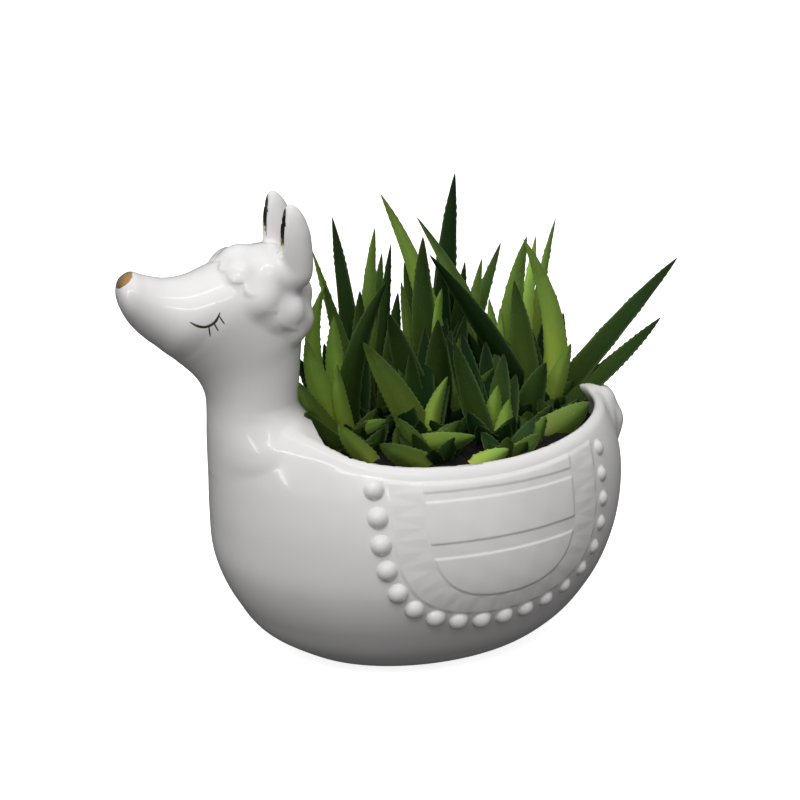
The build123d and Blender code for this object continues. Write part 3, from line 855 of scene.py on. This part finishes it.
def peat():
    """Peat: nearly black, browner on its crumbs, with a fine grain. The near black is partly the peat's own
    dark brown and partly painted shade from the leaves over it.
    """
    made = bpy.data.materials.new("peat")
    made.use_nodes = True
    nodes, links = made.node_tree.nodes, made.node_tree.links
    shader = nodes["Principled BSDF"]
    shader.inputs["Roughness"].default_value = 0.95
    where = nodes.new("ShaderNodeTexCoord")
    grain = nodes.new("ShaderNodeTexNoise")
    grain.inputs["Scale"].default_value = 420
    grain.inputs["Detail"].default_value = 5
    tint = nodes.new("ShaderNodeValToRGB")
    # Nearly black: the peat's dark brown, deepened with painted shade.
    tint.color_ramp.elements[0].position = 0.4
    tint.color_ramp.elements[0].color = (0.002, 0.0017, 0.0014, 1)
    tint.color_ramp.elements[1].position = 0.75
    tint.color_ramp.elements[1].color = (0.009, 0.006, 0.004, 1)
    bump = nodes.new("ShaderNodeBump")
    bump.inputs["Strength"].default_value = 0.8
    bump.inputs["Distance"].default_value = 0.0006
    links.new(where.outputs["Object"], grain.inputs["Vector"])
    links.new(grain.outputs["Fac"], tint.inputs["Fac"])
    links.new(tint.outputs["Color"], shader.inputs["Base Color"])
    links.new(grain.outputs["Fac"], bump.inputs["Height"])
    links.new(bump.outputs["Normal"], shader.inputs["Normal"])
    return made


soil_grid = soil_points(70, 180)
soil_quads = ring_faces(*soil_grid.shape[:2]).tolist()
last_ring = (soil_grid.shape[0] - 1) * soil_grid.shape[1]
soil_quads.append(list(range(soil_grid.shape[1])))
soil_quads.append(list(range(last_ring + soil_grid.shape[1] - 1, last_ring - 1, -1)))
soil = piece_of("potting_soil_top", soil_grid.reshape(-1, 3), soil_quads, peat())
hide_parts("potting_soil")
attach(soil, "root")

# The succulents. Small haworthias with thick keeled leaves, glossy dark green on their backs and
# tips and yellower at the base, with fine pale teeth along both edges. Each rosette sits in the soil.
leaf_rows = 66
leaf_turns = 20
leaf_thickness = 3.3
usual_width = 8.0
face_share = 0.65  # how far a leaf turns its broad side to the viewer
root_share = 0.74  # width at the root
swell_share = 0.25  # it is full this far along
keel_share = 0.62
tooth_pitch = 2.6
tooth_reach = 0.34
root_depth = 3.0

# Rosettes. Each leaf is its root and its tip as the picture shows them, in pixels across and down,
# the tip's place along Y, then width, how far its middle swings to the picture's right, and tone
# from 0, near black, to 1, yellow-green. The tone is partly the leaf's own colour and partly painted
# light and shade: lit leaves have high tones, leaves in shade low ones. The root stands on the soil.
rosettes = (
    (
        (350, 436, 306, 340, -8, 11.0, -2.0, 0.95),
        (356, 432, 334, 316, -3, 9.4, -2.5, 1.0),
        (351, 438, 337, 364, -10, 6.5, -1.0, 0.9),
        (344, 438, 299, 382, -12, 9.0, -2.0, 0.6),
        (346, 446, 305, 412, -12, 9.0, -2.0, 0.25),
        (376, 458, 338, 424, -22, 7.6, -1.0, 0.8),
        (349, 430, 387, 420, -10, 6.6, -1.0, 0.5),
        (350, 434, 388, 279, -14, 8.8, -5.0, 0.12),
        (346, 432, 325, 284, 2, 7.6, -7.5, 0.95),
    ),
    (
        (360, 418, 332, 216, 22, 8.2, 1.0, 0.1),
        (372, 414, 375, 227, 26, 7.8, -2.0, 0.5),
        (368, 416, 312, 250, 34, 5.4, 0.0, 0.5),
        (366, 420, 323, 281, 16, 7.4, 0.0, 0.35),
        (380, 418, 391, 243, 20, 6.0, -1.0, 0.08),
        (374, 414, 382, 252, 32, 7.0, -1.0, 0.35),
        (368, 420, 360, 290, 12, 8.4, -1.0, 0.2),
        (384, 420, 398, 292, 18, 8.4, 0.0, 0.12),
        (356, 414, 345, 268, 42, 7.6, -1.0, 0.3),
    ),
    (
        (424, 436, 363, 342, -14, 12.0, 1.0, 0.55),
        (430, 438, 448, 376, -12, 7.4, -2.0, 0.9),
        (408, 443, 476, 436, -34, 11.0, -0.6, 0.55),
        (434, 461, 380, 444, -32, 9.6, -1.0, 0.5),
        (400, 448, 397, 426, -16, 5.0, 0.0, 0.5),
        (428, 452, 398, 418, -16, 7.4, 0.0, 0.4),
        (436, 446, 460, 420, -20, 7.4, 0.0, 0.3),
        (418, 436, 410, 352, 0, 9.0, 0.0, 0.1),
    ),
    (
        (438, 422, 423, 236, 4, 11.0, -2.0, 0.16),
        (430, 426, 388, 312, -2, 12.0, 0.0, 0.14),
        (424, 418, 401, 281, 14, 7.0, 0.0, 0.45),
        (428, 422, 442, 288, 4, 9.0, -2.0, 0.8),
        (436, 424, 438, 319, -6, 11.4, 0.0, 0.15),
        (454, 424, 459, 337, -4, 5.6, 0.0, 0.5),
        (446, 422, 466, 312, 10, 8.8, 0.0, 0.06),
        (440, 424, 495, 367, -6, 7.8, 0.0, 0.3),
        (440, 424, 412, 330, 16, 9.0, 0.0, 0.08),
    ),
    (
        (442, 404, 455, 172, 24, 10.4, -1.5, 0.06),
        (440, 406, 380, 193, 28, 9.8, 6.0, 0.85),
        (450, 402, 501, 242, 36, 7.4, -1.0, 0.25),
        (448, 404, 465, 261, 24, 8.0, 0.0, 0.12),
        (454, 404, 482, 258, 26, 7.4, 0.0, 0.5),
        (430, 404, 418, 262, 36, 9.0, 0.0, 0.15),
        (440, 404, 442, 250, 22, 9.4, 0.0, 0.06),
        (428, 408, 404, 262, 40, 8.0, 0.0, 0.2),
    ),
    (
        (490, 434, 498, 385, -14, 7.6, -0.5, 0.95),
        (503, 440, 509, 399, -18, 7.2, -0.5, 1.0),
        (472, 462, 509, 449, -31, 8.6, 0.0, 0.65),
        (504, 452, 522, 442, -28, 6.4, 0.0, 0.5),
        (466, 426, 496, 368, -4, 8.0, 0.0, 0.3),
        (526, 444, 546, 416, -18, 7.6, 0.0, 0.4),
        (500, 436, 516, 374, 0, 9.0, 0.0, 0.1),
        (478, 438, 476, 372, -6, 8.0, 0.0, 0.1),
    ),
    (
        (512, 412, 527, 236, 12, 10.6, -3.5, 0.45),
        (514, 414, 416, 216, 20, 8.4, 4.0, 0.3),
        (520, 412, 536, 235, 28, 6.6, -1.0, 0.85),
        (530, 412, 514, 280, 4, 10.6, 0.5, 0.25),
        (502, 414, 500, 307, 14, 6.6, 0.0, 1.0),
        (504, 414, 489, 298, 22, 7.6, 0.0, 0.65),
        (504, 416, 478, 326, 8, 9.4, 0.0, 0.02),
        (524, 412, 545, 326, 26, 8.4, 0.0, 0.12),
    ),
    (
        (548, 404, 523, 238, 4, 9.4, 6.5, 0.85),
        (544, 406, 678, 257, -12.6, 9.4, -1.0, 0.1),
        (548, 410, 661, 317, -12, 8.0, 1.5, 0.12),
        (532, 408, 429, 254, -4, 9.6, 3.0, 0.04),
        (534, 404, 556, 217, 26, 5.0, -3.0, 0.5),
        (546, 408, 571, 343, -6, 8.4, -0.5, 0.95),
        (524, 420, 546, 362, -2, 11.0, -1.0, 0.12),
        (534, 432, 590, 402, -12, 12.0, 1.5, 0.35),
    ),
)
fan_ring = 2.0  # the fans' roots stand this far from their centre
size_waver = 0.16
lean_waver = 9.0
tone_step = 0.15
# Fans of shorter leaves fill each rosette: one stands behind in the shade, and two pups lie low in
# front. Each is its place along Y from the rosette's heart, how many leaves, first and last degrees
# of the spread, then lean, length, width and tone. Their low tones are painted shade, which makes
# them nearly black among the other leaves.
fans = (
    (0.0, 7, 40.0, 185.0, 22.0, 36.0, 9.4, 0.0),
    (0.0, 6, 195.0, 320.0, 50.0, 15.0, 8.4, 0.03),
    (-12.0, 7, 170.0, 400.0, 52.0, 14.0, 7.4, 0.1),
)


def seen_at(across, down, axis, value):
    """The place, in millimetres, that the picture shows at this pixel: the camera's place, carried along
    the pixel's line of sight until this axis has this value."""
    middle = picture_width / 2
    aside, below = (across - middle) / focal_pixels, (down - middle) / focal_pixels
    sight = aside * camera_right - below * camera_up - camera_back
    return (camera_place + sight * (value * MM - camera_place[axis]) / sight[axis]) / MM


def leaf(root, tip, width, swing, heart):
    """Rings of points along a leaf, and how far each is to the picture's right of its middle line, from -1
    to 1. Its middle line runs from root to tip and swings aside in an even arc. Width and thickness fall
    along it by powers of the way to the tip. Each ring is flat on the side that faces the rosette's heart
    and keeled on the other, and its edges are drawn out into teeth at an even pitch."""
    u = np.linspace(0, 1, leaf_rows)[:, None]
    turn = np.linspace(0, 2 * np.pi, leaf_turns, endpoint=False)[None, :]
    chord = tip - root
    length = np.linalg.norm(chord)
    chord = chord / length
    outward = (tip - heart) * (1, 1, 0)
    outward = outward / (np.linalg.norm(outward) + 1e-9)
    broadside = np.cross(chord, camera_back)
    broadside = broadside / np.linalg.norm(broadside)
    across = np.cross(chord, outward)
    across = across * (1 if across @ broadside > 0 else -1) / np.linalg.norm(across)
    aside = (1 - face_share) * across + face_share * broadside
    aside = aside / np.linalg.norm(aside)
    facing = np.cross(chord, aside)
    facing = facing * (-1 if facing @ outward > 0 else 1)
    line = root + chord * length * u + camera_right * (swing * 4 * u * (1 - u))
    shape = (1 - u**2.5) ** 0.82 * (root_share + (1 - root_share) * step_up(u, swell_share))
    s = np.cos(turn)
    tooth = np.maximum(np.sin(2 * np.pi * u * length / tooth_pitch), 0) ** 3
    reach = width / 2 * shape * s + np.sign(s) * tooth_reach * tooth * s**8 * np.minimum(1, (1 - u) * 6)
    thick = leaf_thickness * (width / usual_width) ** 0.6 * (1 - u**3) ** 0.8 * (1 - 0.25 * u)
    inner = (1 - keel_share) * (1 - s**2) * (1 - 0.7 * np.exp(-(s / 0.3) ** 2))
    outer = -keel_share * (1 - np.abs(s) ** 1.35)
    depth = thick * np.where(np.sin(turn) > 0, inner, outer)
    grid = line[:, None, :] + reach[..., None] * aside + depth[..., None] * facing
    share = np.tile(s, (leaf_rows, 1))
    if np.cross(chord, aside) @ facing < 0:
        grid, share = grid[:, ::-1], share[:, ::-1]
    return grid.reshape(-1, 3), share.ravel()


def leaf_flesh():
    """Haworthia flesh: yellow-green at the root, green, then nearly black at the tip, paler along the edges,
    with faint veins, pale dots and a waxy sheen. A tone per leaf mixes near black with yellow-green:
    partly the leaf's own colour, partly painted light and shade. The left side of each leaf is painted
    lighter than its right, as light from the left."""
    made = bpy.data.materials.new("haworthia_leaf")
    made.use_nodes = True
    nodes, links = made.node_tree.nodes, made.node_tree.links
    shader = nodes["Principled BSDF"]
    shader.inputs["Roughness"].default_value = 0.4
    shader.inputs["IOR"].default_value = 1.4
    shader.inputs["Specular IOR Level"].default_value = 0.22
    shader.inputs["Subsurface Weight"].default_value = 0.06
    shader.inputs["Subsurface Radius"].default_value = (0.4, 0.8, 0.2)
    shader.inputs["Subsurface Scale"].default_value = 0.002

    def read(attribute):
        node = nodes.new("ShaderNodeAttribute")
        node.attribute_name = attribute
        return node.outputs["Fac"]

    def sums(operation, first, second, third=None):
        node = nodes.new("ShaderNodeMath")
        node.operation = operation
        for socket, value in zip(node.inputs, (first, second, third)):
            if isinstance(value, (int, float)):
                socket.default_value = value
            elif value is not None:
                links.new(value, socket)
        return node.outputs[0]

    def ramp(fac, *stops):
        node = nodes.new("ShaderNodeValToRGB")
        while len(node.color_ramp.elements) < len(stops):
            node.color_ramp.elements.new(0.5)
        for element, (place, colour) in zip(node.color_ramp.elements, stops):
            element.position = place
            element.color = (*colour, 1)
        links.new(fac, node.inputs["Fac"])
        return node.outputs["Color"]

    def mix(amount, below, above):
        node = nodes.new("ShaderNodeMix")
        node.data_type = "RGBA"
        links.new(amount, node.inputs["Factor"])
        for socket, value in ((node.inputs["A"], below), (node.inputs["B"], above)):
            if isinstance(value, tuple):
                socket.default_value = (*value, 1)
            else:
                links.new(value, socket)
        return node.outputs["Result"]

    where = nodes.new("ShaderNodeTexCoord")
    mottle = nodes.new("ShaderNodeTexNoise")
    mottle.inputs["Scale"].default_value = 160
    mottle.inputs["Detail"].default_value = 4
    links.new(where.outputs["Object"], mottle.inputs["Vector"])
    along, side, tone_with_painted_light = read("along"), read("side"), read("tone_with_painted_light")
    across = sums("ABSOLUTE", side, 0.0)
    # Painted light from the left: a leaf's tone rises on its left side and falls on its right.
    tone_with_painted_light = sums("MULTIPLY_ADD", sums("MULTIPLY", side, tone_with_painted_light), -0.35, tone_with_painted_light)
    place = sums("MULTIPLY_ADD", mottle.outputs["Fac"], 0.3, along)
    place = sums("SUBTRACT", place, 0.15)
    # The near-black end of the mix: a dark green deepened into painted shade.
    dark = ramp(
        place,
        (0.0, (0.006, 0.016, 0.004)),
        (0.25, (0.008, 0.028, 0.006)),
        (0.7, (0.008, 0.034, 0.008)),
        (1.0, (0.01, 0.02, 0.006)),
    )
    light = ramp(
        place,
        (0.0, (0.85, 0.92, 0.25)),
        (0.3, (0.6, 0.8, 0.12)),
        (0.75, (0.36, 0.6, 0.1)),
        (1.0, (0.2, 0.32, 0.05)),
    )
    flesh = mix(sums("POWER", sums("MAXIMUM", tone_with_painted_light, 0.0), 1.4), dark, light)
    edge = sums("POWER", across, 9.0)
    flesh = mix(sums("MULTIPLY", edge, 0.5), flesh, (0.2, 0.3, 0.1))
    dots = nodes.new("ShaderNodeTexVoronoi")
    dots.inputs["Scale"].default_value = 900
    links.new(where.outputs["Object"], dots.inputs["Vector"])
    spot = nodes.new("ShaderNodeMapRange")
    spot.inputs["From Min"].default_value = 0.26
    spot.inputs["From Max"].default_value = 0.16
    links.new(dots.outputs["Distance"], spot.inputs["Value"])
    spotted = sums("MULTIPLY", spot.outputs["Result"], sums("MULTIPLY", tone_with_painted_light, 0.3))
    flesh = mix(spotted, flesh, (0.45, 0.52, 0.3))
    links.new(flesh, shader.inputs["Base Color"])
    bump = nodes.new("ShaderNodeBump")
    bump.inputs["Strength"].default_value = 0.35
    bump.inputs["Distance"].default_value = 0.0004
    links.new(sums("MULTIPLY_ADD", spotted, 0.6, mottle.outputs["Fac"]), bump.inputs["Height"])
    links.new(bump.outputs["Normal"], shader.inputs["Normal"])
    return made


flesh = leaf_flesh()
along = np.repeat(np.linspace(0, 1, leaf_rows), leaf_turns)
for number, leaves in enumerate(rosettes, start=1):
    roots = np.array([seen_at(*spec[:2], 2, soil_surface) for spec in leaves])
    heart = np.median(roots, axis=0)
    grids = [
        leaf(root - (0, 0, root_depth), seen_at(spec[2], spec[3], 1, spec[4]), spec[5], spec[6], heart)
        for root, spec in zip(roots, leaves)
    ]
    tones_with_painted_light = [spec[7] for spec in leaves]
    for forward, count, first, last, lean, length, width, tone_with_painted_light in fans:
        centre = heart + np.array([0, forward, 0])
        for turn in np.linspace(first, last, count):
            # Sines of its turn vary each leaf's size, lean and tone, so that no two fans are alike.
            way = np.array([np.cos(np.radians(turn)), np.sin(np.radians(turn)), 0.0])
            size = length * (1 + size_waver * np.sin(turn * 3.1 + number))
            rise = np.radians(lean + lean_waver * np.sin(turn * 1.7 + number))
            tip = centre + way * size * np.sin(rise) + np.array([0, 0, size * np.cos(rise)])
            grids.append(leaf(centre + way * fan_ring - (0, 0, root_depth), tip, width, 0.0, centre))
            tones_with_painted_light.append(tone_with_painted_light + tone_step * (np.sin(turn + number) > 0.3))
    grids, sides = zip(*grids)
    ring = leaf_rows * leaf_turns
    faces = []
    for first in range(0, ring * len(grids), ring):
        faces += ring_faces(leaf_rows, leaf_turns, first=first).tolist()
        faces.append([first + k for k in range(leaf_turns)])
        faces.append([first + ring - 1 - k for k in range(leaf_turns)])
    plant = piece_of(f"haworthia_{number}", np.concatenate(grids), faces, flesh)
    for attribute, values in (
        ("along", np.tile(along, len(grids))),
        ("side", np.concatenate(sides)),
        ("tone_with_painted_light", np.repeat(tones_with_painted_light, ring)),
    ):
        layer = plant.data.attributes.new(attribute, "FLOAT", "POINT")
        layer.data.foreach_set("value", values.astype(np.float32))
    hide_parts(f"succulent_{number}")
    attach(plant, "root")

# The studio. A pale floor that glows a little, one wide soft light high in front and to the left that
# the glaze doesn't mirror, three narrow strips that it does, and a sky bright above and dim below.
floor_data = bpy.data.meshes.new("studio_floor")
floor_half = 60.0
floor_corners = [(x * floor_half, y * floor_half, 0) for x, y in ((-1, -1), (1, -1), (1, 1), (-1, 1))]
floor_data.from_pydata(floor_corners, [], [(0, 1, 2, 3)])
floor_paint = bpy.data.materials.new("floor_paint")
floor_paint.use_nodes = True
floor_shader = floor_paint.node_tree.nodes["Principled BSDF"]
floor_shader.inputs["Base Color"].default_value = (0.92, 0.92, 0.92, 1)
floor_shader.inputs["Roughness"].default_value = 0.9
floor_shader.inputs["Emission Color"].default_value = (1, 1, 1, 1)
floor_shader.inputs["Emission Strength"].default_value = 0.8
floor_data.materials.append(floor_paint)
studio_floor = bpy.data.objects.new("studio_floor", floor_data)
studio_floor.location = (0, 0, -0.0002)
studio_floor.visible_diffuse = False
studio_floor.visible_glossy = False
bpy.context.scene.collection.objects.link(studio_floor)

sky = bpy.data.worlds.new("studio_sky")
sky.use_nodes = True
sky_nodes, sky_links = sky.node_tree.nodes, sky.node_tree.links
sky_where = sky_nodes.new("ShaderNodeTexCoord")
sky_parts = sky_nodes.new("ShaderNodeSeparateXYZ")
sky_height = sky_nodes.new("ShaderNodeMapRange")
sky_height.inputs["From Min"].default_value = -1
sky_ramp = sky_nodes.new("ShaderNodeValToRGB")
sky_ramp.color_ramp.elements.new(0.5)
sky_stops = ((0.2, 0.08), (0.55, 0.3), (1.0, 1.0))  # how high, from straight down to straight up, and grey
for element, (place, grey) in zip(sky_ramp.color_ramp.elements, sky_stops):
    element.position = place
    element.color = (grey, grey, grey, 1)
sky_links.new(sky_where.outputs["Generated"], sky_parts.inputs[0])
sky_links.new(sky_parts.outputs["Z"], sky_height.inputs["Value"])
sky_links.new(sky_height.outputs["Result"], sky_ramp.inputs["Fac"])
sky_links.new(sky_ramp.outputs["Color"], sky_nodes["Background"].inputs["Color"])
sky_nodes["Background"].inputs["Strength"].default_value = 0.75
bpy.context.scene.world = sky

for name, place, aim, size, power, mirrored in (
    ("high_softbox", (-0.35, -0.5, 1.1), (0, 0, 0.05), (0.9, 0.7), 7.2, False),
    ("near_strip", (-0.51, -0.73, 0.93), (0, 0, 0.05), (0.9, 0.03), 0.8, True),
    ("far_strip", (-0.19, -0.27, 1.27), (0, 0, 0.05), (0.9, 0.03), 0.8, True),
    ("side_strip", (-0.75, -0.55, 0.55), (-0.03, 0, 0.09), (0.04, 0.5), 0.5, True),
):
    light = bpy.data.lights.new(name, "AREA")
    light.shape = "RECTANGLE"
    light.size, light.size_y = size
    light.energy = power
    lamp = bpy.data.objects.new(name, light)
    lamp.visible_glossy = mirrored
    back = np.array(place) - np.array(aim)
    back /= np.linalg.norm(back)
    right = np.cross((0, 0, 1), back)
    right /= np.linalg.norm(right)
    lamp.matrix_world = turned_to(right, np.cross(back, right), back, place)
    bpy.context.scene.collection.objects.link(lamp)

bpy.context.scene.view_settings.view_transform = "Standard"
